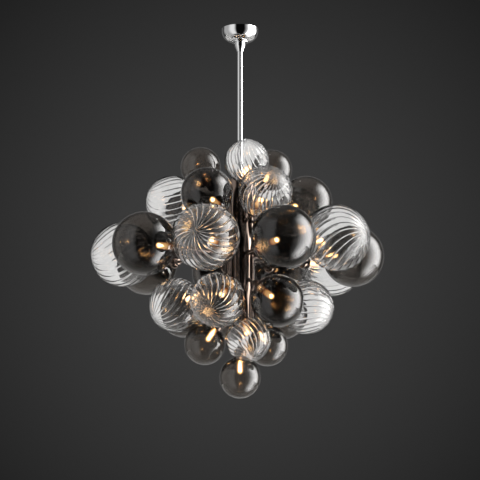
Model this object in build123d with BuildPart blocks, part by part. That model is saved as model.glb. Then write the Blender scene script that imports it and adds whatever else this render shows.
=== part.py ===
from build123d import *
import os
from dataclasses import dataclass
from math import cos, radians, sin, sqrt, tan

# A bubble chandelier: a column under a ceiling stem, with 31 glass globes on arms in six
# tiers. The origin is the centre of the ceiling plane, +Z is up, the front is the -Y side.
# All lengths are in millimetres and all angles in degrees.

os.makedirs("parts", exist_ok=True)

# Clearances
thread_clearance = 0.1      # between a screwed or pushed-in piece and its hole
slide_clearance = 0.3       # between the stem and what slides down it
seat_gap = 0.3              # between faces of pieces that move apart, and under the glass
overrun = 5                 # how far a cut runs past the face that it opens

# Canopy, the bowl against the ceiling
canopy_diameter = 127
canopy_depth = 45.5
canopy_wall = 1.2
canopy_corner_radius = 36

# Ceiling bracket, a strap with a bridge that stands off the ceiling
bracket_width = 22
bracket_thickness = 2.5
bracket_end_gap = 11.3      # from the canopy's inner wall
bridge_drop = 9
bridge_length = 44
foot_margin = 3             # metal left at each end of a slot
slot_length = 16
slot_width = 5

# Nipple, its nuts and the ground screw
nipple_diameter = 10
nipple_bore = 7
nipple_top_drop = 3         # below the ceiling plane
nut_across_flats = 15
nut_thickness = 4.5
ground_screw_diameter = 4
ground_screw_head_diameter = 7.5
ground_screw_head_height = 2.4
ground_screw_length = 8
ground_screw_offset = 15    # from the bracket's centre

# Stem and the plug in its top
stem_diameter = 19
stem_wall = 1.5
stem_top_drop = 22
plug_flange_diameter = 23
plug_flange_thickness = 3
plug_length = 24
nipple_end_gap = 2          # between the nipple's end and the plug's end

# Disc and collar that hold the canopy up
disc_diameter = 58
disc_thickness = 4
disc_edge_round = 1.2
collar_top_diameter = 38
collar_end_wall = 1.5
collar_length = 33
collar_bulge = 0.8          # how far the collar's taper curves in from a straight one
collar_barrel = 14          # the straight part at the collar's top
set_screw_diameter = 4
set_screw_socket = 2
set_screw_socket_depth = 2
set_screw_drop = 8          # below the collar's top
set_screw_recess = 1.2      # behind the collar's side

# Column and its caps
column_top_drop = 548.5     # below the ceiling plane
column_diameter = 104
column_wall = 2.5
cap_thickness = 6
cap_edge_round = 3
cap_plug_length = 10
top_cap_neck_diameter = 28
top_cap_neck_height = 16
stem_insertion = 12         # of the stem into the column
top_hub_drop = 145          # from the column's top to the top tier of arms
bottom_hub_margin = 4       # wall left between the bottom tier's holes and the cap's plug

# Arms and their lock rings
arm_diameter = 10
arm_bore = 7
ring_diameter = 14
ring_thickness = 6

# Cups
cup_diameter = 44
cup_wall = 1.5
cup_depth = 30
cup_boss_diameter = 20
cup_boss_length = 8

# Lampholders and bulbs
holder_side_gap = 0.5       # inside the flat of the cup's floor
holder_length = 24
holder_bore = 5
holder_slot_length = 13
holder_slot_width = 5
holder_slot_depth = 9
bulb_diameter = 22
bulb_length = 60
bulb_base_clearance = 0.4
bulb_base_gap = 1           # between the bulb's base and the slot's floor

# Globes
globe_wall = 2.2
neck_diameter = 36
neck_length = 10
gasket_length = 7
gasket_inset = 1            # from the neck's end
smoke_small_diameter = 140
smoke_medium_diameter = 176
smoke_large_diameter = 212
ribbed_small_diameter = 152
ribbed_medium_diameter = 186
ribbed_large_diameter = 222

globe_diameters = {
    ("smoke", "small"): smoke_small_diameter,
    ("smoke", "medium"): smoke_medium_diameter,
    ("smoke", "large"): smoke_large_diameter,
    ("ribbed", "small"): ribbed_small_diameter,
    ("ribbed", "medium"): ribbed_medium_diameter,
    ("ribbed", "large"): ribbed_large_diameter,
}

# Gap between the sides of a smoke and a ribbed globe next to each other in a tier
top_side_gap = 108
upper_side_gap = 22
middle_side_gap = 30
lower_side_gap = 16
bottom_side_gap = 72

# Drop from one tier's globes to the next, as a share of their two radii added
upper_drop_share = 0.88
middle_drop_share = 0.88
lower_drop_share = 0.915
bottom_drop_share = 0.74
tip_drop_share = 0.80

# Tilt of each tier's arms above level
top_tilt = 55.14
upper_tilt = 20
middle_tilt = 0
lower_tilt = -28
bottom_tilt = -55
tip_tilt = -90

# Glass and azimuth of each globe, counted from the front towards +X
top_places = [("ribbed", 11.5), ("smoke", 130), ("smoke", 249)]
upper_places = [
    ("ribbed", 21.5), ("smoke", 75), ("ribbed", 126), ("smoke", 178),
    ("smoke", 229), ("ribbed", 280), ("smoke", 332),
]
middle_places = [
    ("smoke", 20.5), ("ribbed", 53), ("smoke", 93), ("ribbed", 126), ("smoke", 158),
    ("smoke", 190), ("smoke", 236), ("ribbed", 272), ("smoke", 308), ("ribbed", 344),
]
lower_places = [
    ("smoke", 33), ("ribbed", 84), ("smoke", 139), ("smoke", 189),
    ("smoke", 239), ("ribbed", 290), ("ribbed", 341),
]
bottom_places = [("ribbed", 12.5), ("smoke", 131), ("smoke", 253)]
tip_places = [("smoke", 0)]

# Globes that stand off their tier: extra tilt, and arm length as a share of the tier's
tilt_trims = {("top", 1): 3.3, ("middle", 2): 3}
reach_shares = {("top", 1): 0.8935, ("middle", 3): 0.975}

# Radii and levels worked out from the sizes above
canopy_radius = canopy_diameter / 2
stem_radius = stem_diameter / 2
column_radius = column_diameter / 2
arm_radius = arm_diameter / 2
cup_radius = cup_diameter / 2
cup_mouth_radius = cup_radius - cup_wall
cup_boss_radius = cup_boss_diameter / 2
holder_radius = cup_boss_radius - holder_side_gap
neck_radius = neck_diameter / 2
slide_radius = stem_radius + slide_clearance
stem_bore_radius = stem_radius - stem_wall
column_bore_radius = column_radius - column_wall
nipple_hole_radius = nipple_diameter / 2 + thread_clearance
arm_hole_radius = arm_radius + thread_clearance
cup_floor_depth = cup_depth - cup_wall
bracket_half_length = canopy_radius - canopy_wall - bracket_end_gap
slot_centre = bracket_half_length - foot_margin - slot_length / 2
foot_length = slot_length + 2 * foot_margin
column_top_level = -column_top_drop


def mean_radius(size):
    """Radius between a tier's smoke and ribbed globes."""
    return (globe_diameters["smoke", size] + globe_diameters["ribbed", size]) / 4


def ring_reach(size, count, side_gap):
    """Distance from the column's axis at which a ring of globes clears by the side gap."""
    return (2 * mean_radius(size) + side_gap) / (2 * sin(radians(180 / count)))


def drop_between(size_above, size_below, share):
    """Level difference of two tiers of globes."""
    return share * (mean_radius(size_above) + mean_radius(size_below))


top_reach = ring_reach("small", len(top_places), top_side_gap)
upper_reach = ring_reach("medium", len(upper_places), upper_side_gap)
middle_reach = ring_reach("large", len(middle_places), middle_side_gap)
lower_reach = ring_reach("medium", len(lower_places), lower_side_gap)
bottom_reach = ring_reach("small", len(bottom_places), bottom_side_gap)

top_hub_level = column_top_level - top_hub_drop
top_level = top_hub_level + top_reach * tan(radians(top_tilt))
upper_level = top_level - drop_between("small", "medium", upper_drop_share)
middle_level = upper_level - drop_between("medium", "large", middle_drop_share)
lower_level = middle_level - drop_between("large", "medium", lower_drop_share)
bottom_level = lower_level - drop_between("medium", "small", bottom_drop_share)
tip_level = bottom_level - drop_between("small", "small", tip_drop_share)
bottom_hub_level = bottom_level - bottom_reach * tan(radians(bottom_tilt))
bottom_hole_drop = (
    column_radius * tan(radians(-bottom_tilt)) + arm_hole_radius / cos(radians(bottom_tilt))
)
column_bottom_level = (
    bottom_hub_level - bottom_hole_drop - bottom_hub_margin - cap_plug_length
)
column_length = column_top_level - column_bottom_level


@dataclass
class Lamp:
    """One arm with its cup, bulb and globe; distances run out along the arm from the axis."""

    name: str
    glass: str
    radius: float
    azimuth: float
    tilt: float
    hub_level: float
    distance: float
    arm_start: float
    ring_start: float

    @property
    def mouth(self):
        """Distance of the cup's mouth, a seat gap short of the globe's shoulder."""
        return self.distance - sqrt(self.radius ** 2 - cup_mouth_radius ** 2) - seat_gap

    @property
    def direction(self):
        level_share = cos(radians(self.tilt))
        return Vector(
            level_share * sin(radians(self.azimuth)),
            -level_share * cos(radians(self.azimuth)),
            sin(radians(self.tilt)),
        )

    def point(self, distance):
        return Vector(0, 0, self.hub_level) + self.direction * distance

    def across(self, distance):
        """Plane square to the arm, facing out along it."""
        side = Vector(cos(radians(self.azimuth)), sin(radians(self.azimuth)), 0)
        return Plane(self.point(distance), x_dir=side, z_dir=self.direction)

    def along(self, distance):
        """Plane that holds the arm's axis, with its local Y out along the arm."""
        side = Vector(cos(radians(self.azimuth)), sin(radians(self.azimuth)), 0)
        return Plane(self.point(distance), x_dir=side, z_dir=side.cross(self.direction))

    def axis(self):
        return Axis(self.point(0), self.direction)


def ring_lamps(tier, size, places, tier_tilt, reach, level):
    """Lamps of a tier that leaves the column's side."""
    hub_level = level - reach * tan(radians(tier_tilt))
    lamps = []
    for number, (glass, azimuth) in enumerate(places, start=1):
        tilt = tier_tilt + tilt_trims.get((tier, number), 0)
        slope = cos(radians(tilt))
        ring_rise = ring_diameter / 2 * abs(sin(radians(tilt)))
        lamps.append(Lamp(
            name=f"{tier}_{glass}_globe_{number}",
            glass=glass,
            radius=globe_diameters[glass, size] / 2,
            azimuth=azimuth,
            tilt=tilt,
            hub_level=hub_level,
            distance=reach / cos(radians(tier_tilt)) * reach_shares.get((tier, number), 1),
            arm_start=column_bore_radius / slope,
            ring_start=(column_radius + ring_rise) / slope + seat_gap,
        ))
    return lamps


def tip_lamps():
    """The one lamp under the column's bottom cap."""
    glass, azimuth = tip_places[0]
    return [Lamp(
        name=f"tip_{glass}_globe",
        glass=glass,
        radius=globe_diameters[glass, "small"] / 2,
        azimuth=azimuth,
        tilt=tip_tilt,
        hub_level=column_bottom_level,
        distance=column_bottom_level - tip_level,
        arm_start=-cap_plug_length,
        ring_start=cap_thickness,
    )]


tiers = {
    "top": ring_lamps("top", "small", top_places, top_tilt, top_reach, top_level),
    "upper": ring_lamps("upper", "medium", upper_places, upper_tilt, upper_reach, upper_level),
    "middle": ring_lamps(
        "middle", "large", middle_places, middle_tilt, middle_reach, middle_level
    ),
    "lower": ring_lamps("lower", "medium", lower_places, lower_tilt, lower_reach, lower_level),
    "bottom": ring_lamps(
        "bottom", "small", bottom_places, bottom_tilt, bottom_reach, bottom_level
    ),
    "tip": tip_lamps(),
}
all_lamps = [lamp for lamps in tiers.values() for lamp in lamps]


def save(part, name):
    part.label = name
    export_step(part, f"parts/{name}.step")


# Canopy
with BuildPart() as canopy:
    with BuildSketch(Plane.XZ):
        with BuildLine():
            corner_start = canopy_radius - canopy_corner_radius
            corner_top = -canopy_depth + canopy_corner_radius
            inner_radius = canopy_radius - canopy_wall
            inner_corner = canopy_corner_radius - canopy_wall
            Line((slide_radius, -canopy_depth), (corner_start, -canopy_depth))
            CenterArc((corner_start, corner_top), canopy_corner_radius, -90, 90)
            Line((canopy_radius, corner_top), (canopy_radius, 0))
            Line((canopy_radius, 0), (inner_radius, 0))
            Line((inner_radius, 0), (inner_radius, corner_top))
            CenterArc((corner_start, corner_top), inner_corner, 0, -90)
            Polyline(
                (corner_start, -canopy_depth + canopy_wall),
                (slide_radius, -canopy_depth + canopy_wall),
                (slide_radius, -canopy_depth),
            )
        make_face()
    revolve(axis=Axis.Z)
save(canopy.part, "canopy")

# Ceiling bracket: feet against the ceiling box, a lowered bridge between them
bridge_top_level = -bridge_drop
bridge_bottom_level = bridge_top_level - bracket_thickness
with BuildPart() as ceiling_bracket:
    with BuildSketch(Plane.XZ.offset(-bracket_width / 2)):
        with BuildLine():
            foot_inner = bracket_half_length - foot_length
            bridge_end = bridge_length / 2
            Polyline(
                (-bracket_half_length, 0),
                (-foot_inner, 0),
                (-bridge_end, bridge_top_level),
                (bridge_end, bridge_top_level),
                (foot_inner, 0),
                (bracket_half_length, 0),
                (bracket_half_length, -bracket_thickness),
                (foot_inner, -bracket_thickness),
                (bridge_end, bridge_bottom_level),
                (-bridge_end, bridge_bottom_level),
                (-foot_inner, -bracket_thickness),
                (-bracket_half_length, -bracket_thickness),
                close=True,
            )
        make_face()
    extrude(amount=bracket_width)
    with BuildSketch():
        with Locations((-slot_centre, 0), (slot_centre, 0)):
            SlotOverall(slot_length, slot_width)
    extrude(amount=-bracket_thickness, mode=Mode.SUBTRACT)
    with BuildSketch(Plane.XY.offset(bridge_top_level)):
        Circle(nipple_hole_radius)
        with Locations((ground_screw_offset, 0)):
            Circle(ground_screw_diameter / 2 + thread_clearance)
    extrude(amount=-bracket_thickness, mode=Mode.SUBTRACT)
save(ceiling_bracket.part, "ceiling_bracket")

# Nipple: the threaded tube from the bracket into the stem's plug
plug_end_level = -stem_top_drop - plug_length
nipple_length = -nipple_top_drop - (plug_end_level + nipple_end_gap)
with BuildPart() as bracket_nipple:
    with BuildSketch(Plane.XY.offset(-nipple_top_drop)):
        Circle(nipple_diameter / 2)
        Circle(nipple_bore / 2, mode=Mode.SUBTRACT)
    extrude(amount=-nipple_length)
save(bracket_nipple.part, "bracket_nipple")

# Nuts above and below the bridge
with BuildPart() as nipple_nuts:
    for nut_level in (bridge_top_level, bridge_bottom_level - nut_thickness):
        with BuildSketch(Plane.XY.offset(nut_level)):
            RegularPolygon(nut_across_flats / 2, 6, major_radius=False)
            Circle(nipple_hole_radius, mode=Mode.SUBTRACT)
        extrude(amount=nut_thickness)
save(nipple_nuts.part, "nipple_nuts")

# Ground screw, its head under the bridge
with BuildPart() as ground_screw:
    with BuildSketch(Plane.XY.offset(bridge_bottom_level)):
        with Locations((ground_screw_offset, 0)):
            Circle(ground_screw_head_diameter / 2)
    extrude(amount=-ground_screw_head_height)
    with BuildSketch(Plane.XY.offset(bridge_bottom_level)):
        with Locations((ground_screw_offset, 0)):
            Circle(ground_screw_diameter / 2)
    extrude(amount=ground_screw_length)
save(ground_screw.part, "ground_screw")

# Stem
stem_bottom_level = column_top_level - stem_insertion
with BuildPart() as stem:
    with BuildSketch(Plane.XY.offset(-stem_top_drop)):
        Circle(stem_radius)
        Circle(stem_bore_radius, mode=Mode.SUBTRACT)
    extrude(amount=stem_bottom_level + stem_top_drop)
save(stem.part, "stem")

# Plug in the stem's top
with BuildPart() as stem_top_plug:
    with BuildSketch(Plane.XY.offset(-stem_top_drop)):
        Circle(stem_bore_radius - thread_clearance)
    extrude(amount=-plug_length)
    with BuildSketch(Plane.XY.offset(-stem_top_drop)):
        Circle(plug_flange_diameter / 2)
    extrude(amount=plug_flange_thickness)
    with BuildSketch(Plane.XY.offset(-stem_top_drop + plug_flange_thickness)):
        Circle(nipple_hole_radius)
    extrude(amount=-plug_flange_thickness - plug_length, mode=Mode.SUBTRACT)
save(stem_top_plug.part, "stem_top_plug")

# Disc under the canopy
disc_top_level = -canopy_depth - seat_gap
with BuildPart() as canopy_disc:
    with BuildSketch(Plane.XY.offset(disc_top_level)):
        Circle(disc_diameter / 2)
        Circle(slide_radius, mode=Mode.SUBTRACT)
    extrude(amount=-disc_thickness)
    disc_rim = canopy_disc.edges().filter_by(GeomType.CIRCLE).group_by(SortBy.RADIUS)[-1]
    fillet(disc_rim, disc_edge_round)
save(canopy_disc.part, "canopy_disc")

# Collar, a barrel that tapers to the stem, with a threaded hole at the back for its set screw
collar_top_level = disc_top_level - disc_thickness
collar_end_level = collar_top_level - collar_length
collar_top_radius = collar_top_diameter / 2
collar_end_radius = slide_radius + collar_end_wall
set_screw_level = collar_top_level - set_screw_drop
with BuildPart() as stem_collar:
    with BuildSketch(Plane.XZ):
        with BuildLine():
            taper_level = collar_top_level - collar_barrel
            middle = (
                (collar_top_radius + collar_end_radius) / 2 - collar_bulge,
                (taper_level + collar_end_level) / 2,
            )
            ThreePointArc(
                (collar_end_radius, collar_end_level), middle, (collar_top_radius, taper_level)
            )
            Polyline(
                (collar_top_radius, taper_level),
                (collar_top_radius, collar_top_level),
                (slide_radius, collar_top_level),
                (slide_radius, collar_end_level),
                (collar_end_radius, collar_end_level),
            )
        make_face()
    revolve(axis=Axis.Z)
    with BuildSketch(Plane.XZ):
        with Locations((0, set_screw_level)):
            Circle(set_screw_diameter / 2 + thread_clearance)
    extrude(amount=-collar_top_radius, mode=Mode.SUBTRACT)
save(stem_collar.part, "stem_collar")

# Set screw, its end a slide clearance off the stem
set_screw_length = collar_top_radius - slide_radius - set_screw_recess
with BuildPart() as collar_set_screw:
    with BuildSketch(Plane.XZ.offset(-slide_radius)):
        with Locations((0, set_screw_level)):
            Circle(set_screw_diameter / 2)
    extrude(amount=-set_screw_length)
    with BuildSketch(Plane.XZ.offset(-slide_radius - set_screw_length)):
        with Locations((0, set_screw_level)):
            RegularPolygon(set_screw_socket / 2, 6, major_radius=False)
    extrude(amount=set_screw_socket_depth, mode=Mode.SUBTRACT)
save(collar_set_screw.part, "collar_set_screw")

# Column, drilled where each arm enters it
with BuildPart() as column:
    with BuildSketch(Plane.XY.offset(column_top_level)):
        Circle(column_radius)
        Circle(column_bore_radius, mode=Mode.SUBTRACT)
    extrude(amount=-column_length)
    for lamp in all_lamps:
        if lamp.tilt != tip_tilt:
            with BuildSketch(lamp.across(0)):
                Circle(arm_hole_radius)
            extrude(amount=lamp.ring_start + overrun, mode=Mode.SUBTRACT)
save(column.part, "column")

# Top cap of the column, with a neck round the stem
with BuildPart() as column_top_cap:
    with BuildSketch(Plane.XY.offset(column_top_level)):
        Circle(column_radius)
    extrude(amount=cap_thickness)
    cap_rim = column_top_cap.edges().filter_by(GeomType.CIRCLE).sort_by(Axis.Z)[-1]
    fillet(cap_rim, cap_edge_round)
    with BuildSketch(Plane.XY.offset(column_top_level + cap_thickness)):
        Circle(top_cap_neck_diameter / 2)
    extrude(amount=top_cap_neck_height)
    neck_rim = column_top_cap.edges().filter_by(GeomType.CIRCLE).sort_by(Axis.Z)[-1]
    fillet(neck_rim, cap_edge_round)
    with BuildSketch(Plane.XY.offset(column_top_level)):
        Circle(column_bore_radius - thread_clearance)
    extrude(amount=-cap_plug_length)
    with BuildSketch(Plane.XY.offset(column_top_level - cap_plug_length)):
        Circle(stem_radius + thread_clearance)
    extrude(
        amount=cap_plug_length + cap_thickness + top_cap_neck_height, mode=Mode.SUBTRACT
    )
save(column_top_cap.part, "column_top_cap")

# Bottom cap of the column, which carries the lowest arm
with BuildPart() as column_bottom_cap:
    with BuildSketch(Plane.XY.offset(column_bottom_level)):
        Circle(column_radius)
    extrude(amount=-cap_thickness)
    bottom_rim = column_bottom_cap.edges().filter_by(GeomType.CIRCLE).sort_by(Axis.Z)[0]
    fillet(bottom_rim, cap_edge_round)
    with BuildSketch(Plane.XY.offset(column_bottom_level)):
        Circle(column_bore_radius - thread_clearance)
    extrude(amount=cap_plug_length)
    with BuildSketch(Plane.XY.offset(column_bottom_level + cap_plug_length)):
        Circle(arm_hole_radius)
    extrude(amount=-cap_plug_length - cap_thickness, mode=Mode.SUBTRACT)
save(column_bottom_cap.part, "column_bottom_cap")

# Arms: one tube for each lamp, from inside the column's wall to the cup's floor
for tier, lamps in tiers.items():
    with BuildPart() as arms:
        for lamp in lamps:
            with BuildSketch(lamp.across(lamp.arm_start)):
                Circle(arm_radius)
                Circle(arm_bore / 2, mode=Mode.SUBTRACT)
            extrude(amount=lamp.mouth - cup_floor_depth - lamp.arm_start)
    save(arms.part, "tip_arm" if tier == "tip" else f"{tier}_arms")

# Lock rings on the arms, as near the column as their tilt lets them
with BuildPart() as arm_lock_rings:
    for lamp in all_lamps:
        with BuildSketch(lamp.across(lamp.ring_start)):
            Circle(ring_diameter / 2)
            Circle(arm_hole_radius, mode=Mode.SUBTRACT)
        extrude(amount=ring_thickness)
save(arm_lock_rings.part, "arm_lock_rings")

# Cups: a skirt, a rounded back and a boss round the arm
for tier, lamps in tiers.items():
    with BuildPart() as cups:
        for lamp in lamps:
            with BuildSketch(lamp.along(lamp.mouth)):
                with BuildLine():
                    back_radius = cup_radius - cup_boss_radius
                    skirt_level = -cup_depth + back_radius
                    boss_level = -cup_depth - cup_boss_length
                    Line((cup_radius, 0), (cup_radius, skirt_level))
                    CenterArc((cup_boss_radius, skirt_level), back_radius, 0, -90)
                    Polyline(
                        (cup_boss_radius, -cup_depth),
                        (cup_boss_radius, boss_level),
                        (arm_hole_radius, boss_level),
                        (arm_hole_radius, -cup_floor_depth),
                        (cup_boss_radius, -cup_floor_depth),
                    )
                    CenterArc((cup_boss_radius, skirt_level), back_radius - cup_wall, -90, 90)
                    Polyline(
                        (cup_mouth_radius, skirt_level),
                        (cup_mouth_radius, 0),
                        (cup_radius, 0),
                    )
                make_face()
            revolve(axis=lamp.axis())
    save(cups.part, "tip_cup" if tier == "tip" else f"{tier}_cups")

# Lampholders on the cups' floors, slotted for the bulbs' pin bases
with BuildPart() as lampholders:
    for lamp in all_lamps:
        with BuildSketch(lamp.across(lamp.mouth - cup_floor_depth)):
            Circle(holder_radius)
            Circle(holder_bore / 2, mode=Mode.SUBTRACT)
        extrude(amount=holder_length)
        with BuildSketch(lamp.across(lamp.mouth - cup_floor_depth + holder_length)):
            Rectangle(holder_slot_length, holder_slot_width)
        extrude(amount=-holder_slot_depth, mode=Mode.SUBTRACT)
save(lampholders.part, "lampholders")

# Bulbs: a pinched base in the holder's slot and a round-ended capsule
with BuildPart() as bulbs:
    base_length = holder_slot_depth - bulb_base_gap
    bulb_radius = bulb_diameter / 2
    for lamp in all_lamps:
        holder_front = lamp.mouth - cup_floor_depth + holder_length
        with BuildSketch(lamp.across(holder_front)):
            Rectangle(
                holder_slot_length - 2 * bulb_base_clearance,
                holder_slot_width - 2 * bulb_base_clearance,
            )
        extrude(amount=-base_length)
        with BuildSketch(lamp.along(holder_front)):
            with BuildLine():
                Polyline(
                    (0, bulb_length),
                    (0, 0),
                    (bulb_radius, 0),
                    (bulb_radius, bulb_length - bulb_radius),
                )
                CenterArc((0, bulb_length - bulb_radius), bulb_radius, 0, 90)
            make_face()
        revolve(axis=lamp.axis())
save(bulbs.part, "bulbs")

# Gaskets between the globes' necks and the cups
with BuildPart() as neck_gaskets:
    for lamp in all_lamps:
        neck_end = lamp.distance - sqrt(lamp.radius ** 2 - neck_radius ** 2) - neck_length
        with BuildSketch(lamp.across(neck_end + gasket_inset)):
            Circle(cup_mouth_radius - thread_clearance)
            Circle(neck_radius + thread_clearance, mode=Mode.SUBTRACT)
        extrude(amount=gasket_length)
save(neck_gaskets.part, "neck_gaskets")

# Globes: blown shells with a short neck that faces the cup
for lamp in all_lamps:
    with BuildPart() as globe:
        with BuildSketch(lamp.along(lamp.distance)):
            with BuildLine():
                outer_radius = lamp.radius
                inner_radius = outer_radius - globe_wall
                neck_bore_radius = neck_radius - globe_wall
                outer_joint = -sqrt(outer_radius ** 2 - neck_radius ** 2)
                inner_joint = -sqrt(inner_radius ** 2 - neck_bore_radius ** 2)
                neck_end = outer_joint - neck_length
                ThreePointArc((0, outer_radius), (outer_radius, 0), (neck_radius, outer_joint))
                Polyline(
                    (neck_radius, outer_joint),
                    (neck_radius, neck_end),
                    (neck_bore_radius, neck_end),
                    (neck_bore_radius, inner_joint),
                )
                ThreePointArc(
                    (neck_bore_radius, inner_joint), (inner_radius, 0), (0, inner_radius)
                )
                Line((0, inner_radius), (0, outer_radius))
            make_face()
        revolve(axis=lamp.axis())
    save(globe.part, lamp.name)
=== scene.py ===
import math

import bpy
import numpy as np
from mathutils import Matrix, Vector


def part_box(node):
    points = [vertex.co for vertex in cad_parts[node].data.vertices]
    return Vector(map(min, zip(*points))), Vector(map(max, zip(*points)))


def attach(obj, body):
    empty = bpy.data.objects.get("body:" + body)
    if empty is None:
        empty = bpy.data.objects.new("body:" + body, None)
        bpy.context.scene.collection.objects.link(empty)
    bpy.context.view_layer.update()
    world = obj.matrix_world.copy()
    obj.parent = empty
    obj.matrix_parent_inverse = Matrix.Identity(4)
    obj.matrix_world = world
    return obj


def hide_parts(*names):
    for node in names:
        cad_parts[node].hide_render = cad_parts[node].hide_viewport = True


# The looks of a bubble chandelier: polished chrome, smoke globes and clear swirl-ribbed globes.
# Lengths are in metres, in the frame's own axes: +Z up, the front on the -Y side.

MM = 0.001

# Camera, from the size of a pixel at the stem's axis and the angle that the tiers are seen at
CAMERA_DISTANCE = 6.0
CAMERA_RISE = math.radians(9.54)     # how far the camera looks up
METRES_PER_PIXEL = 0.00343
PICTURE_WIDTH = 480                  # pixels
AIM_LEVEL = -0.7488                  # what the picture's middle shows on the stem's axis
SENSOR_WIDTH = 36.0                  # millimetres, as Blender counts sensors and lenses

# Swirl-ribbed globes
RIB_COUNT = 22
RIB_SHARE = 0.34                     # of the pitch that a rib takes up
RIB_HEIGHT_SHARE = 0.015             # of the globe's radius
RIB_TWIST = math.radians(120)        # from the pole to the neck
RIB_TWIST_POWER = 1.6                # the ribs leave the pole straight and lean over further out
RIB_FULL_ANGLE = math.radians(50)    # from the pole, where the ribs reach their full height
RIB_FADE = 9 * MM                    # over which the ribs run out before the neck
# Where a mesh column stands in each pitch, as a share of it from the rib's crest
RIB_STEPS = (-0.21, -0.17, -0.125, -0.085, -0.04, 0.0, 0.04, 0.085, 0.125, 0.17, 0.21, 0.5)
WALL_UNDER_RIBS = 1.6 * MM
NECK_RADIUS = 18 * MM
NECK_LENGTH = 10 * MM
NECK_WALL = 2.2 * MM
LIP_WIDTH, LIP_HEIGHT = 0.7 * MM, 0.8 * MM   # of the bevels round the neck's end
OUTER_ROWS = 72
INNER_ROWS = 24

# Bulbs, seated as the lampholders in the cups carry them
CUP_MOUTH_RADIUS = 20.5 * MM
HOLDER_FRONT_DROP = 4.8 * MM         # behind the line where the cup's mouth meets the globe
BULB_RADIUS = 11 * MM
BULB_LENGTH = 60 * MM
BULB_WALL = 0.9 * MM
GLOW_RADIUS = 6 * MM
GLOW_START = 22 * MM
GLOW_LENGTH = 31 * MM
# The lit body's outline: shares of its radius, and of its length from the stalk up
GLOW_OUTLINE = ((0.75, 0.03), (1, 0.12), (1, 0.88), (0.75, 0.97), (0, 1))
STALK_FOOT_RADIUS = 0.5 * MM
STALK_FOOT_GAP = 0.2 * MM            # above the capsule's floor
SHOULDER_LEVEL = 3 * MM              # where the capsule is as wide as it gets
FOOT_RADIUS = 5.5 * MM               # of the capsule's end on the lampholder
FOOT_BEVEL = 0.2 * MM
STUB_RADIUS, STUB_LENGTH = 2.2 * MM, 8 * MM   # of what stands in the lampholder
AMBER_BASE_END, LIT_FROM = 4 * MM, 30 * MM    # levels between which the base's amber fades
DOME_ROWS = 10
BULB_COLUMNS = 24

# Sizes that the finishes' patterns are drawn at. Those of the dyed screw, the porcelain and the
# rubber are coarser than on real pieces, so that they show.
CHROME_WIPING = 40 * MM
INNER_METAL_WIPING = 25 * MM
ZINC_MOTTLE = 6 * MM
DYE_MOTTLE = 1 * MM
SMOKE_DEPTH = 90 * MM                # between thicker and thinner glass
MOULD_RIPPLE = 25 * MM
CAPSULE_RIPPLE = 8 * MM
PORCELAIN_SPECKS = 1.5 * MM
RUBBER_GRAIN = 0.8 * MM
FLOOR_MOTTLE = 500 * MM

# The studio's parts that glass and metal mirror beside the lamp. Each has its side, its radiance,
# where 1 is white, and the azimuths and rises at which it sets in, is full, fades and ends.
# Azimuths are in degrees from the front towards that side, and rises in degrees from the level.
MIRRORED_SIDES = (
    ("right", 11.5, (45, 92, 98, 130), (-75, -45, 36, 62)),     # the tall softbox
    ("right", 0.5, (26, 48, 60, 92), (-75, -45, 36, 62)),       # the pale wall towards the front
    ("left", 0.45, (22, 44, 105, 135), (-75, -45, 40, 66)),     # the pale wall
    ("left", 0.5, (22, 40, 56, 85), (-75, -45, 40, 66)),        # the sheet on its front part
)

# Radiance of the studio's other parts, and where they set in and are full, as the share of a
# direction that points back (+Y) or up (+Z)
BACK_WALL = 1.0                      # seen through glass
FRONT_SEEN_THROUGH = 0.15
SEEN_THROUGH_SETS_IN, SEEN_THROUGH_FULL = -0.45, -0.05
BACK_MIRRORED = 0.12
BACK_SETS_IN, BACK_FULL = 0.62, 0.8
BACK_RISES = (-66, -50, 60, 76)      # degrees, as for the sides
ROOM_DARK = 0.003
CEILING_MIRRORED = 0.12
CEILING_SETS_IN, CEILING_FULL = 0.7, 1.0

# The dark flag behind the lamp's middle, counted from straight behind and from the level
FLAG_SHARE = 0.05                    # of the back wall's radiance
FLAG_AZIMUTH, FLAG_RISE = math.radians(-0.4), math.radians(9.2)
FLAG_HALF_WIDTH, FLAG_HALF_HEIGHT = math.radians(2.9), math.radians(2.1)
FLAG_FULL, FLAG_GONE = 0.8, 1.1      # of those halves, where its edge begins and ends

# Emission of the bulbs' lit bodies and capsules, held down behind clear glass
GLOW_IN_SMOKE = 30.0
CAPSULE_IN_SMOKE = 3.2
GLOW_IN_CLEAR = 5.0
CAPSULE_IN_CLEAR = 1.1

# The backdrop's pale patch, counted from the level and from the patch's middle
PATCH_RISE = math.radians(9.05)
PATCH_REACH = math.radians(12)

# The floor
FLOOR_LEVEL = -2.9
FLOOR_FRONT, FLOOR_BACK, FLOOR_HALF_WIDTH = -1.2, 9.0, 6.0
FLOOR_FULL = 2.5                     # behind this line it doesn't fade


def linear(hex_colour):
    """An sRGB hex colour as linear RGBA."""
    parts = [int(hex_colour[i:i + 2], 16) / 255 for i in (1, 3, 5)]
    return [c / 12.92 if c <= 0.04045 else ((c + 0.055) / 1.055) ** 2.4 for c in parts] + [1]


def add(tree, kind, settings=None, links=None):
    """Adds a node, sets its inputs or properties, and links inputs to other outputs.

    An input goes by its name, or by its number where several have one name.
    """
    node = tree.nodes.new(kind)
    for name, value in (settings or {}).items():
        if isinstance(name, int) or name in node.inputs:
            node.inputs[name].default_value = value
        else:
            setattr(node, name, value)
    for name, output in (links or {}).items():
        tree.links.new(output, node.inputs[name])
    return node


def new_material(name):
    """A material with an empty node tree and its output."""
    material = bpy.data.materials.new(name)
    material.use_nodes = True
    material.node_tree.nodes.clear()
    output = add(material.node_tree, "ShaderNodeOutputMaterial")
    return material, material.node_tree, output


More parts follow.
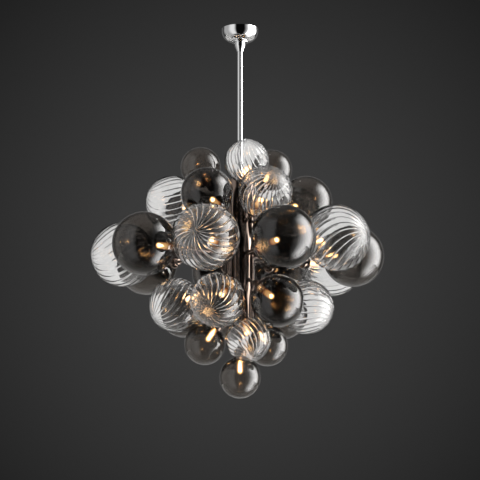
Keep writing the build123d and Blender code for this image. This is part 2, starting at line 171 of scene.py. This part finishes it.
def polished_chrome():
    """Bright chromium plate on buffed tube: a near-perfect mirror, faintly hazed by wiping."""
    material, tree, output = new_material("polished_chrome_plate")
    place = add(tree, "ShaderNodeTexCoord")
    haze = add(tree, "ShaderNodeTexNoise", {"Scale": 1 / CHROME_WIPING, "Detail": 0.0},
               {"Vector": place.outputs["Object"]})
    wiped = add(tree, "ShaderNodeMapRange", {
        "From Min": 0.35, "From Max": 0.7, "To Min": 0.03, "To Max": 0.05,
    }, {"Value": haze.outputs["Fac"]})
    shader = add(tree, "ShaderNodeBsdfPrincipled", {
        "Base Color": linear("#e6e7e8"), "Metallic": 1.0,
    }, {"Roughness": wiped.outputs["Result"]})
    tree.links.new(shader.outputs["BSDF"], output.inputs["Surface"])
    return material


def inner_metal_with_painted_shade():
    """Polished metal on the inner metalwork: a dark, brownish mirror, whose dark brown colour is
    painted shade and painted warm bulb light.
    """
    material, tree, output = new_material("polished_inner_metal_with_painted_shade")
    place = add(tree, "ShaderNodeTexCoord")
    haze = add(tree, "ShaderNodeTexNoise", {"Scale": 1 / INNER_METAL_WIPING, "Detail": 4.0},
               {"Vector": place.outputs["Object"]})
    wiped = add(tree, "ShaderNodeMapRange", {
        "From Min": 0.35, "From Max": 0.7, "To Min": 0.03, "To Max": 0.09,
    }, {"Value": haze.outputs["Fac"]})
    # This dark brownish base colour paints in the shade and the bulbs' warm light inside the
    # cluster
    shader = add(tree, "ShaderNodeBsdfPrincipled", {
        "Base Color": linear("#73665e"), "Metallic": 1.0,
    }, {"Roughness": wiped.outputs["Result"]})
    tree.links.new(shader.outputs["BSDF"], output.inputs["Surface"])
    return material


def zinc_plated_steel():
    """Pressed steel with bright zinc: a pale satin grey with a slight mottle."""
    material, tree, output = new_material("zinc_plated_pressed_steel")
    place = add(tree, "ShaderNodeTexCoord")
    mottle = add(tree, "ShaderNodeTexNoise", {"Scale": 1 / ZINC_MOTTLE, "Detail": 5.0},
                 {"Vector": place.outputs["Object"]})
    colour = add(tree, "ShaderNodeMixRGB", {
        "Color1": linear("#9a9ca0"), "Color2": linear("#b9babb"),
    }, {"Fac": mottle.outputs["Fac"]})
    satin = add(tree, "ShaderNodeMapRange", {
        "From Min": 0.3, "From Max": 0.7, "To Min": 0.3, "To Max": 0.45,
    }, {"Value": mottle.outputs["Fac"]})
    shader = add(tree, "ShaderNodeBsdfPrincipled", {"Metallic": 1.0}, {
        "Base Color": colour.outputs["Color"], "Roughness": satin.outputs["Result"],
    })
    tree.links.new(shader.outputs["BSDF"], output.inputs["Surface"])
    return material


def green_dyed_steel():
    """The ground screw's green passivated zinc: a dull metallic green."""
    material, tree, output = new_material("green_dyed_zinc_screw")
    place = add(tree, "ShaderNodeTexCoord")
    mottle = add(tree, "ShaderNodeTexNoise", {"Scale": 1 / DYE_MOTTLE, "Detail": 3.0},
                 {"Vector": place.outputs["Object"]})
    dull = add(tree, "ShaderNodeMapRange", {
        "From Min": 0.3, "From Max": 0.7, "To Min": 0.35, "To Max": 0.5,
    }, {"Value": mottle.outputs["Fac"]})
    shader = add(tree, "ShaderNodeBsdfPrincipled", {
        "Base Color": linear("#3b7d45"), "Metallic": 0.8,
    }, {"Roughness": dull.outputs["Result"]})
    tree.links.new(shader.outputs["BSDF"], output.inputs["Surface"])
    return material


def smoke_glass():
    """Blown smoke-grey glass: dark and glossy, see-through, darker where it is seen edge on."""
    material, tree, output = new_material("blown_smoke_grey_glass")
    place = add(tree, "ShaderNodeTexCoord")
    depth = add(tree, "ShaderNodeTexNoise", {"Scale": 1 / SMOKE_DEPTH, "Detail": 2.0},
                {"Vector": place.outputs["Object"]})
    colour = add(tree, "ShaderNodeMixRGB", {
        "Color1": linear("#7b7773"), "Color2": linear("#86827e"),
    }, {"Fac": depth.outputs["Fac"]})
    slant = add(tree, "ShaderNodeLayerWeight", {"Blend": 0.5})
    edge_on = add(tree, "ShaderNodeMapRange", {
        "interpolation_type": "SMOOTHSTEP", "From Min": 0.5, "From Max": 0.75,
    }, {"Value": slant.outputs["Facing"]})
    deepened = add(tree, "ShaderNodeMixRGB", {"Color2": linear("#383737")}, {
        "Fac": edge_on.outputs["Result"], "Color1": colour.outputs["Color"],
    })
    shader = add(tree, "ShaderNodeBsdfPrincipled", {
        "Roughness": 0.0, "IOR": 1.52, "Transmission Weight": 1.0,
    }, {"Base Color": deepened.outputs["Color"]})
    tree.links.new(shader.outputs["BSDF"], output.inputs["Surface"])
    return material


def clear_glass(name, ribbed_face):
    """Clear glass blown into a ribbed mould and twisted: its ribs bend light into bright lines.

    The ribbed face lets light out as a smooth globe does, so that the ribs of the far side stay
    faint behind the near ones.
    """
    material, tree, output = new_material(name)
    place = add(tree, "ShaderNodeTexCoord")
    ripple = add(tree, "ShaderNodeTexNoise", {"Scale": 1 / MOULD_RIPPLE, "Detail": 2.0},
                 {"Vector": place.outputs["Object"]})
    uneven = add(tree, "ShaderNodeBump", {"Strength": 0.05, "Distance": 0.3 * MM},
                 {"Height": ripple.outputs["Fac"]})
    shader = add(tree, "ShaderNodeBsdfPrincipled", {
        "Base Color": linear("#eeeeee"), "Roughness": 0.02, "IOR": 1.5,
        "Transmission Weight": 1.0,
    }, {"Normal": uneven.outputs["Normal"]})
    if ribbed_face:
        outward = add(tree, "ShaderNodeVectorMath", {"operation": "NORMALIZE"},
                      {0: place.outputs["Object"]})
        inward = add(tree, "ShaderNodeVectorMath", {"operation": "SCALE", "Scale": -1.0},
                     {0: outward.outputs["Vector"]})
        side = add(tree, "ShaderNodeNewGeometry")
        facing = add(tree, "ShaderNodeMixRGB", links={
            "Fac": side.outputs["Backfacing"], "Color1": uneven.outputs["Normal"],
            "Color2": inward.outputs["Vector"],
        })
        tree.links.new(facing.outputs["Color"], shader.inputs["Normal"])
    tree.links.new(shader.outputs["BSDF"], output.inputs["Surface"])
    return material


def capsule_glass(name, glow):
    """The bulb's clear hard-glass capsule, filled with light: amber round its edge and base."""
    material, tree, output = new_material(name)
    place = add(tree, "ShaderNodeTexCoord")
    ripple = add(tree, "ShaderNodeTexNoise", {"Scale": 1 / CAPSULE_RIPPLE},
                 {"Vector": place.outputs["Object"]})
    uneven = add(tree, "ShaderNodeBump", {"Strength": 0.05, "Distance": 0.1 * MM},
                 {"Height": ripple.outputs["Fac"]})
    length = add(tree, "ShaderNodeSeparateXYZ", links={"Vector": place.outputs["Object"]})
    lit = add(tree, "ShaderNodeMapRange", {
        "interpolation_type": "SMOOTHSTEP", "From Min": AMBER_BASE_END, "From Max": LIT_FROM,
    }, {"Value": length.outputs["Z"]})
    edge = add(tree, "ShaderNodeLayerWeight", {"Blend": 0.35})
    tip_colour = add(tree, "ShaderNodeMixRGB", {
        "Color1": linear("#ffd592"), "Color2": linear("#b0631f"),
    }, {"Fac": edge.outputs["Facing"]})
    colour = add(tree, "ShaderNodeMixRGB", {"Color1": linear("#5a2c0c")}, {
        "Fac": lit.outputs["Result"], "Color2": tip_colour.outputs["Color"],
    })
    shader = add(tree, "ShaderNodeBsdfPrincipled", {
        "Base Color": linear("#fdf6ea"), "Roughness": 0.05, "IOR": 1.47,
        "Transmission Weight": 1.0, "Emission Strength": glow,
    }, {"Normal": uneven.outputs["Normal"], "Emission Color": colour.outputs["Color"]})
    tree.links.new(shader.outputs["BSDF"], output.inputs["Surface"])
    return material


def warm_glow(name, glow):
    """The lit body in the capsule: warm white, yellow at its core and amber at its ends."""
    material, tree, output = new_material(name)
    facing = add(tree, "ShaderNodeLayerWeight", {"Blend": 0.4})
    colour = add(tree, "ShaderNodeMixRGB", {
        "Color1": linear("#ffe0b0"), "Color2": linear("#ffa04a"),
    }, {"Fac": facing.outputs["Facing"]})
    shader = add(tree, "ShaderNodeBsdfPrincipled", {
        "Base Color": linear("#ffdf9e"), "Roughness": 0.5, "Emission Strength": glow,
    }, {"Emission Color": colour.outputs["Color"]})
    tree.links.new(shader.outputs["BSDF"], output.inputs["Surface"])
    return material


def glazed_porcelain():
    """The lampholders' white steatite: off-white, glossy, with fine specks."""
    material, tree, output = new_material("glazed_porcelain")
    place = add(tree, "ShaderNodeTexCoord")
    specks = add(tree, "ShaderNodeTexNoise", {"Scale": 1 / PORCELAIN_SPECKS, "Detail": 6.0},
                 {"Vector": place.outputs["Object"]})
    sparse = add(tree, "ShaderNodeMapRange", {"From Min": 0.3, "From Max": 0.5},
                 {"Value": specks.outputs["Fac"]})
    colour = add(tree, "ShaderNodeMixRGB", {
        "Color1": linear("#d9d5ca"), "Color2": linear("#efece4"),
    }, {"Fac": sparse.outputs["Result"]})
    shader = add(tree, "ShaderNodeBsdfPrincipled", {
        "Roughness": 0.25, "IOR": 1.5, "Coat Weight": 0.4, "Coat Roughness": 0.08,
    }, {"Base Color": colour.outputs["Color"]})
    tree.links.new(shader.outputs["BSDF"], output.inputs["Surface"])
    return material


def silicone_rubber():
    """The neck gaskets' moulded silicone: milky and soft-looking."""
    material, tree, output = new_material("moulded_silicone_rubber")
    place = add(tree, "ShaderNodeTexCoord")
    grain = add(tree, "ShaderNodeTexNoise", {"Scale": 1 / RUBBER_GRAIN, "Detail": 3.0},
                {"Vector": place.outputs["Object"]})
    matt = add(tree, "ShaderNodeMapRange", {
        "From Min": 0.3, "From Max": 0.7, "To Min": 0.5, "To Max": 0.65,
    }, {"Value": grain.outputs["Fac"]})
    shader = add(tree, "ShaderNodeBsdfPrincipled", {
        "Base Color": linear("#d2d0c8"), "IOR": 1.41, "Subsurface Weight": 0.2,
        "Subsurface Scale": 2 * MM,
    }, {"Roughness": matt.outputs["Result"]})
    tree.links.new(shader.outputs["BSDF"], output.inputs["Surface"])
    return material


def turned_mesh(name, rows, angles, ridge, rib_height, materials):
    """A closed mesh turned about +Z from rows of (radius, height, rib share, turn, slot).

    The ridge says how high the rib stands at each angle, from 0 in a valley to 1 on a crest. A
    row's rib share says how much of the rib height its valleys are cut by, and its turn how far
    round it is twisted. A row of no radius is one point, and two of them in turn end one shell
    and start the next.
    """
    columns = len(angles)
    valley = 1 - ridge
    points, faces, slots, starts = [], [], [], []
    for radius, height, rib_share, turn, _ in rows:
        starts.append(len(points))
        if radius == 0:
            points.append((0.0, 0.0, height))
            continue
        cut = rib_height * rib_share * valley
        slope = math.hypot(radius, height)
        reach = radius - cut * radius / slope
        level = height - cut * height / slope
        turned = angles + turn
        points.extend(zip(reach * np.cos(turned), reach * np.sin(turned), level + 0 * angles))
    for index in range(len(rows) - 1):
        if rows[index][0] == rows[index + 1][0] == 0:
            continue
        first, second = starts[index], starts[index + 1]
        for column in range(columns):
            follower = (column + 1) % columns
            if rows[index][0] == 0:
                face = (first, second + column, second + follower)
            elif rows[index + 1][0] == 0:
                face = (first + column, second, first + follower)
            else:
                face = (first + column, second + column, second + follower, first + follower)
            faces.append(face)
            slots.append(rows[index][4])
    mesh = bpy.data.meshes.new(name)
    mesh.from_pydata(points, [], faces)
    for material in materials:
        mesh.materials.append(material)
    mesh.polygons.foreach_set("material_index", slots)
    mesh.shade_smooth()
    return mesh


def ribbed_globe_mesh(name, radius, materials):
    """A swirl-ribbed globe about its centre: pole at +Z, neck at -Z, smooth inside."""
    pitch = 2 * math.pi / RIB_COUNT
    steps = np.array(RIB_STEPS)
    angles = (np.arange(RIB_COUNT)[:, None] * pitch + steps[None, :] * pitch).ravel()
    crest = np.where(np.abs(steps) < RIB_SHARE / 2, np.cos(math.pi * steps / RIB_SHARE) ** 2, 0)
    ridge = np.tile(crest, RIB_COUNT)
    rib_height = radius * RIB_HEIGHT_SHARE
    neck_angle = math.asin(NECK_RADIUS / radius)
    inner_radius = radius - rib_height - WALL_UNDER_RIBS
    bore_radius = NECK_RADIUS - NECK_WALL
    bore_angle = math.asin(bore_radius / inner_radius)
    neck_end = -radius * math.cos(neck_angle) - NECK_LENGTH
    rows = []
    for step in range(OUTER_ROWS + 1):
        angle = (math.pi - neck_angle) * step / OUTER_ROWS
        to_neck = radius * (math.pi - neck_angle - angle)
        swell = math.sin(min(angle, RIB_FULL_ANGLE)) / math.sin(RIB_FULL_ANGLE)
        share = swell * min(1, to_neck / RIB_FADE)
        across = 0 if step == 0 else radius * math.sin(angle)
        turn = RIB_TWIST * (angle / math.pi) ** RIB_TWIST_POWER
        rows.append((across, radius * math.cos(angle), share, turn, 0))
    last_turn = rows[-1][3]
    rows.append((NECK_RADIUS, neck_end + LIP_HEIGHT, 0, last_turn, 0))
    rows.append((NECK_RADIUS - LIP_WIDTH, neck_end, 0, last_turn, 0))
    rows.append((bore_radius + LIP_WIDTH, neck_end, 0, last_turn, 0))
    rows.append((bore_radius, neck_end + LIP_HEIGHT, 0, last_turn, 1))
    for step in range(INNER_ROWS + 1):
        angle = (math.pi - bore_angle) * (1 - step / INNER_ROWS)
        across = 0 if step == INNER_ROWS else inner_radius * math.sin(angle)
        rows.append((across, inner_radius * math.cos(angle), 0, last_turn, 1))
    return turned_mesh(name, rows, angles, ridge, rib_height, materials)


def bulb_mesh(name, materials):
    """A capsule bulb standing on its base at the origin, its tip at +Z.

    Its lit body stands inside on a stalk that widens up to it.
    """
    dome_middle = BULB_LENGTH - BULB_RADIUS
    hollow = BULB_RADIUS - BULB_WALL
    glass = [
        (0, -STUB_LENGTH),
        (STUB_RADIUS, -STUB_LENGTH),
        (STUB_RADIUS, 0),
        (FOOT_RADIUS, FOOT_BEVEL),
        (BULB_RADIUS, SHOULDER_LEVEL),
    ]
    for step in range(DOME_ROWS + 1):
        angle = math.pi / 2 * step / DOME_ROWS
        across = 0 if step == DOME_ROWS else BULB_RADIUS * math.cos(angle)
        glass.append((across, dome_middle + BULB_RADIUS * math.sin(angle)))
    for step in range(DOME_ROWS + 1):
        angle = math.pi / 2 * (1 - step / DOME_ROWS)
        across = 0 if step == 0 else hollow * math.cos(angle)
        glass.append((across, dome_middle + hollow * math.sin(angle)))
    glass += [(hollow, SHOULDER_LEVEL), (0, SHOULDER_LEVEL)]
    stalk_foot = SHOULDER_LEVEL + STALK_FOOT_GAP
    lit = [(0, stalk_foot), (STALK_FOOT_RADIUS, stalk_foot)]
    for share, level_share in GLOW_OUTLINE:
        lit.append((GLOW_RADIUS * share, GLOW_START + GLOW_LENGTH * level_share))
    rows = [(radius, height, 0, 0, slot)
            for slot, outline in enumerate((glass, lit)) for radius, height in outline]
    angles = np.linspace(0, 2 * math.pi, BULB_COLUMNS, endpoint=False)
    return turned_mesh(name, rows, angles, 0 * angles, 0, materials)


def globe_place(name, middle_level):
    """Centre, radius and outward axis of a globe, from its CAD node's box and neck."""
    low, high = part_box(name)
    radius = min(high - low) / 2
    centre = Vector((
        high.x - radius if high.x + low.x > 0 else low.x + radius,
        high.y - radius if high.y + low.y > 0 else low.y + radius,
        high.z - radius if high.z + low.z > 2 * middle_level else low.z + radius,
    ))
    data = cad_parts[name].data
    points = np.zeros(len(data.vertices) * 3, np.float32)
    data.vertices.foreach_get("co", points)
    points = points.reshape(-1, 3)
    far = np.linalg.norm(points - np.array(centre), axis=1) > radius + NECK_LENGTH / 2
    neck = Vector(points[far].mean(axis=0).tolist())
    return centre, radius, (centre - neck).normalized()


def placed(name, mesh, centre, axis, bake_turn):
    """A new piece at a centre, with the mesh's +Z turned onto an axis.

    A baked turn goes into the piece's own copy of the mesh and keeps its box tight.
    """
    turn = axis.to_track_quat("Z", "Y").to_matrix().to_4x4()
    if bake_turn:
        mesh = mesh.copy()
        mesh.transform(turn)
        turn.identity()
    piece = bpy.data.objects.new(name, mesh)
    bpy.context.scene.collection.objects.link(piece)
    piece.matrix_world = Matrix.Translation(centre) @ turn
    return piece


def soft_band(tree, angle, start, full, fade, end):
    """A factor that rises from 0 to 1 and falls back to 0 over four angles in degrees."""
    rise = add(tree, "ShaderNodeMapRange", {
        "interpolation_type": "SMOOTHSTEP",
        "From Min": math.radians(start), "From Max": math.radians(full),
    }, {"Value": angle})
    fall = add(tree, "ShaderNodeMapRange", {
        "interpolation_type": "SMOOTHSTEP", "To Min": 1.0, "To Max": 0.0,
        "From Min": math.radians(fade), "From Max": math.radians(end),
    }, {"Value": angle})
    return add(tree, "ShaderNodeMath", {"operation": "MULTIPLY"}, {
        0: rise.outputs["Result"], 1: fall.outputs["Result"],
    }).outputs["Value"]


def studio_world():
    """A dark grey backdrop, paler behind the lamp; glass and metal see the studio round it.

    Mirrored, it has a tall softbox on the right, a pale sheet on the left, pale walls on both
    sides, a dim wall behind and a dim ceiling, and is dark in front. Through glass it is white
    behind the lamp and beside it, and grey in front, with a dark flag right behind its middle.
    """
    world = bpy.data.worlds.new("studio")
    bpy.context.scene.world = world
    world.use_nodes = True
    tree = world.node_tree
    tree.nodes.clear()
    place = add(tree, "ShaderNodeTexCoord")
    parts = add(tree, "ShaderNodeSeparateXYZ", links={"Vector": place.outputs["Generated"]})
    to_patch = add(tree, "ShaderNodeVectorMath", {
        "operation": "DOT_PRODUCT", 1: (0, math.cos(PATCH_RISE), math.sin(PATCH_RISE)),
    }, {0: place.outputs["Generated"]})
    off_patch = add(tree, "ShaderNodeMath", {"operation": "ARCCOSINE"},
                    {0: to_patch.outputs["Value"]})
    reach = add(tree, "ShaderNodeMapRange", {"From Max": PATCH_REACH},
                {"Value": off_patch.outputs["Value"]})
    backdrop = add(tree, "ShaderNodeValToRGB", links={"Fac": reach.outputs["Result"]})
    stops = backdrop.color_ramp.elements      # at shares of the patch's reach
    stops[0].position, stops[0].color = 0.0, linear("#3c3c3c")
    stops[1].position, stops[1].color = 0.93, linear("#212121")
    stops.new(0.33).color = linear("#3a3a3a")

    front = add(tree, "ShaderNodeMath", {"operation": "MULTIPLY", 1: -1.0},
                {0: parts.outputs["Y"]})
    rightward = add(tree, "ShaderNodeMath", {"operation": "ARCTAN2"}, {
        0: parts.outputs["X"], 1: front.outputs["Value"],
    })
    leftward = add(tree, "ShaderNodeMath", {"operation": "MULTIPLY", 1: -1.0},
                   {0: rightward.outputs["Value"]})
    azimuths = {"right": rightward.outputs["Value"], "left": leftward.outputs["Value"]}
    rise = add(tree, "ShaderNodeMath", {"operation": "ARCSINE"}, {0: parts.outputs["Z"]})
    backmost = add(tree, "ShaderNodeMapRange", {
        "interpolation_type": "SMOOTHSTEP", "From Min": BACK_SETS_IN, "From Max": BACK_FULL,
    }, {"Value": parts.outputs["Y"]})
    walls = [(radiance, soft_band(tree, azimuths[side], *across), upward)
             for side, radiance, across, upward in MIRRORED_SIDES]
    walls.append((BACK_MIRRORED, backmost.outputs["Result"], BACK_RISES))
    mirrored = add(tree, "ShaderNodeMapRange", {
        "From Min": CEILING_SETS_IN, "From Max": CEILING_FULL,
        "To Min": ROOM_DARK, "To Max": CEILING_MIRRORED,
    }, {"Value": parts.outputs["Z"]}).outputs["Result"]
    for radiance, across, upward in walls:
        wall = add(tree, "ShaderNodeMath", {"operation": "MULTIPLY"}, {
            0: across, 1: soft_band(tree, rise.outputs["Value"], *upward),
        })
        mirrored = add(tree, "ShaderNodeMath", {"operation": "MULTIPLY_ADD", 1: radiance}, {
            0: wall.outputs["Value"], 2: mirrored,
        }).outputs["Value"]

    seen_through = add(tree, "ShaderNodeMapRange", {
        "interpolation_type": "SMOOTHSTEP",
        "From Min": SEEN_THROUGH_SETS_IN, "From Max": SEEN_THROUGH_FULL,
        "To Min": FRONT_SEEN_THROUGH, "To Max": BACK_WALL,
    }, {"Value": parts.outputs["Y"]})
    backward = add(tree, "ShaderNodeMath", {"operation": "ARCTAN2"}, {
        0: parts.outputs["X"], 1: parts.outputs["Y"],
    })
    flag_parts = add(tree, "ShaderNodeCombineXYZ")
    for axis, angle, middle, half in (("X", backward, FLAG_AZIMUTH, FLAG_HALF_WIDTH),
                                      ("Y", rise, FLAG_RISE, FLAG_HALF_HEIGHT)):
        share = add(tree, "ShaderNodeMath", {
            "operation": "MULTIPLY_ADD", 1: 1 / half, 2: -middle / half,
        }, {0: angle.outputs["Value"]})
        tree.links.new(share.outputs["Value"], flag_parts.inputs[axis])
    off_flag = add(tree, "ShaderNodeVectorMath", {"operation": "LENGTH"},
                   {0: flag_parts.outputs["Vector"]})
    past_flag = add(tree, "ShaderNodeMapRange", {
        "interpolation_type": "SMOOTHSTEP", "From Min": FLAG_FULL, "From Max": FLAG_GONE,
        "To Min": FLAG_SHARE,
    }, {"Value": off_flag.outputs["Value"]})
    beyond_lamp = add(tree, "ShaderNodeMath", {"operation": "MULTIPLY"}, {
        0: seen_through.outputs["Result"], 1: past_flag.outputs["Result"],
    })

    path = add(tree, "ShaderNodeLightPath")
    total = add(tree, "ShaderNodeMapRange", links={
        "Value": path.outputs["Is Reflection Ray"],
        "To Min": beyond_lamp.outputs["Value"], "To Max": mirrored,
    }).outputs["Result"]
    studio = add(tree, "ShaderNodeBackground", {"Color": linear("#fdfcfb")}, {"Strength": total})
    shade = add(tree, "ShaderNodeBackground", links={"Color": backdrop.outputs["Color"]})
    chosen = add(tree, "ShaderNodeMixShader", links={
        "Fac": path.outputs["Is Camera Ray"],
        1: studio.outputs["Background"],
        2: shade.outputs["Background"],
    })
    add(tree, "ShaderNodeOutputWorld", links={"Surface": chosen.outputs["Shader"]})


def pale_floor():
    """A pale floor under and behind the lamp, fading out to the front.

    It is clear from below, so that low views see the lamp.
    """
    material, tree, output = new_material("plain_pale_floor")
    place = add(tree, "ShaderNodeTexCoord")
    mottle = add(tree, "ShaderNodeTexNoise", {"Scale": 1 / FLOOR_MOTTLE, "Detail": 4.0},
                 {"Vector": place.outputs["Object"]})
    colour = add(tree, "ShaderNodeMixRGB", {
        "Color1": linear("#c9c8c6"), "Color2": linear("#cfcecc"),
    }, {"Fac": mottle.outputs["Fac"]})
    matt = add(tree, "ShaderNodeBsdfPrincipled", {"Roughness": 0.9},
               {"Base Color": colour.outputs["Color"]})
    clear = add(tree, "ShaderNodeBsdfTransparent")
    parts = add(tree, "ShaderNodeSeparateXYZ", links={"Vector": place.outputs["Object"]})
    fade = add(tree, "ShaderNodeMapRange", {
        "interpolation_type": "SMOOTHSTEP", "From Min": FLOOR_FRONT, "From Max": FLOOR_FULL,
    }, {"Value": parts.outputs["Y"]})
    side = add(tree, "ShaderNodeNewGeometry")
    faded = add(tree, "ShaderNodeMixShader", links={
        "Fac": fade.outputs["Result"], 1: clear.outputs["BSDF"], 2: matt.outputs["BSDF"],
    })
    mix = add(tree, "ShaderNodeMixShader", links={
        "Fac": side.outputs["Backfacing"], 1: faded.outputs["Shader"], 2: clear.outputs["BSDF"],
    })
    tree.links.new(mix.outputs["Shader"], output.inputs["Surface"])
    mesh = bpy.data.meshes.new("floor")
    corners = [
        (-FLOOR_HALF_WIDTH, FLOOR_FRONT, FLOOR_LEVEL),
        (FLOOR_HALF_WIDTH, FLOOR_FRONT, FLOOR_LEVEL),
        (FLOOR_HALF_WIDTH, FLOOR_BACK, FLOOR_LEVEL),
        (-FLOOR_HALF_WIDTH, FLOOR_BACK, FLOOR_LEVEL),
    ]
    mesh.from_pydata(corners, [], [(0, 1, 2, 3)])
    mesh.materials.append(material)
    floor = bpy.data.objects.new("floor", mesh)
    bpy.context.scene.collection.objects.link(floor)


def photo_camera():
    """The camera below the lamp's middle, looking up at it from the front."""
    data = bpy.data.cameras.new("photo_camera")
    data.sensor_width = SENSOR_WIDTH
    data.lens = SENSOR_WIDTH * CAMERA_DISTANCE / (PICTURE_WIDTH * METRES_PER_PIXEL)
    camera = bpy.data.objects.new("photo_camera", data)
    bpy.context.scene.collection.objects.link(camera)
    forward = Vector((0, math.cos(CAMERA_RISE), math.sin(CAMERA_RISE)))
    camera.location = Vector((0, 0, AIM_LEVEL)) - forward * CAMERA_DISTANCE
    camera.rotation_euler = forward.to_track_quat("-Z", "Y").to_euler()
    bpy.context.scene.camera = camera


def finish_node(node, material):
    """Gives a carried-over node one material in all its slots."""
    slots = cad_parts[node].data.materials
    slots.clear()
    slots.append(material)


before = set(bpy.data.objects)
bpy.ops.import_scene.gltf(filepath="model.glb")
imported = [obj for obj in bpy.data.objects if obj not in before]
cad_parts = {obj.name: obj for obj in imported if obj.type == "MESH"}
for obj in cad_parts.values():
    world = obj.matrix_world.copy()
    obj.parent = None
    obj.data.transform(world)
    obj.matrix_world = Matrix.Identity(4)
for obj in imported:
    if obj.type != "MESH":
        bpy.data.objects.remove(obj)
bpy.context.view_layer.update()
node_names = sorted(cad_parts)
globe_names = [name for name in node_names if "_globe" in name]

chrome = polished_chrome()
# The inner metalwork, coloured dark and brown as painted shade and painted warm bulb light
shaded_inner_metal = inner_metal_with_painted_shade()
zinc = zinc_plated_steel()
smoke = smoke_glass()
ribbed = [clear_glass("clear_swirl_ribbed_glass", True), clear_glass("clear_blown_glass", False)]
plain_finishes = {
    "canopy": chrome,
    "canopy_disc": chrome,
    "stem_collar": chrome,
    "stem": chrome,
    "ceiling_bracket": zinc,
    "bracket_nipple": zinc,
    "nipple_nuts": zinc,
    "stem_top_plug": zinc,
    "collar_set_screw": zinc,
    "ground_screw": green_dyed_steel(),
    "lampholders": glazed_porcelain(),
    "neck_gaskets": silicone_rubber(),
}
# The rest is the polished inner metal, its dark brown colour painted shade and painted warm bulb
# light. The bulbs and the clear globes are replaced further down.
for node in node_names:
    if node in globe_names:
        finish_node(node, smoke)
    else:
        finish_node(node, plain_finishes.get(node, shaded_inner_metal))

middle_low, middle_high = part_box("middle_arms")
middle_level = (middle_low.z + middle_high.z) / 2
bulbs = {}
for kind, body_glow, capsule_glow in (("smoke", GLOW_IN_SMOKE, CAPSULE_IN_SMOKE),
                                      ("clear", GLOW_IN_CLEAR, CAPSULE_IN_CLEAR)):
    capsule = capsule_glass(f"clear_capsule_glass_in_{kind}", capsule_glow)
    lit_body = warm_glow(f"warm_white_lit_body_in_{kind}", body_glow)
    bulbs[kind] = bulb_mesh(f"capsule_bulb_in_{kind}", [capsule, lit_body])
ribbed_meshes = {}
for name in globe_names:
    centre, radius, axis = globe_place(name, middle_level)
    seat = math.sqrt(radius ** 2 - CUP_MOUTH_RADIUS ** 2) + HOLDER_FRONT_DROP
    bulb = bulbs["clear" if "ribbed" in name else "smoke"]
    capsule = placed(name.replace("globe", "bulb"), bulb, centre - axis * seat, axis, False)
    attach(capsule, "lamp")
    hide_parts("bulbs")
    if "ribbed" in name:
        size = round(radius / MM)
        if size not in ribbed_meshes:
            ribbed_meshes[size] = ribbed_globe_mesh(f"ribbed_shell_{size}", radius, ribbed)
        shell = placed(f"swirl_{name}", ribbed_meshes[size], centre, axis, True)
        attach(shell, "lamp")
        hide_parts(name)

studio_world()
pale_floor()
photo_camera()
bpy.context.scene.view_settings.view_transform = "Standard"
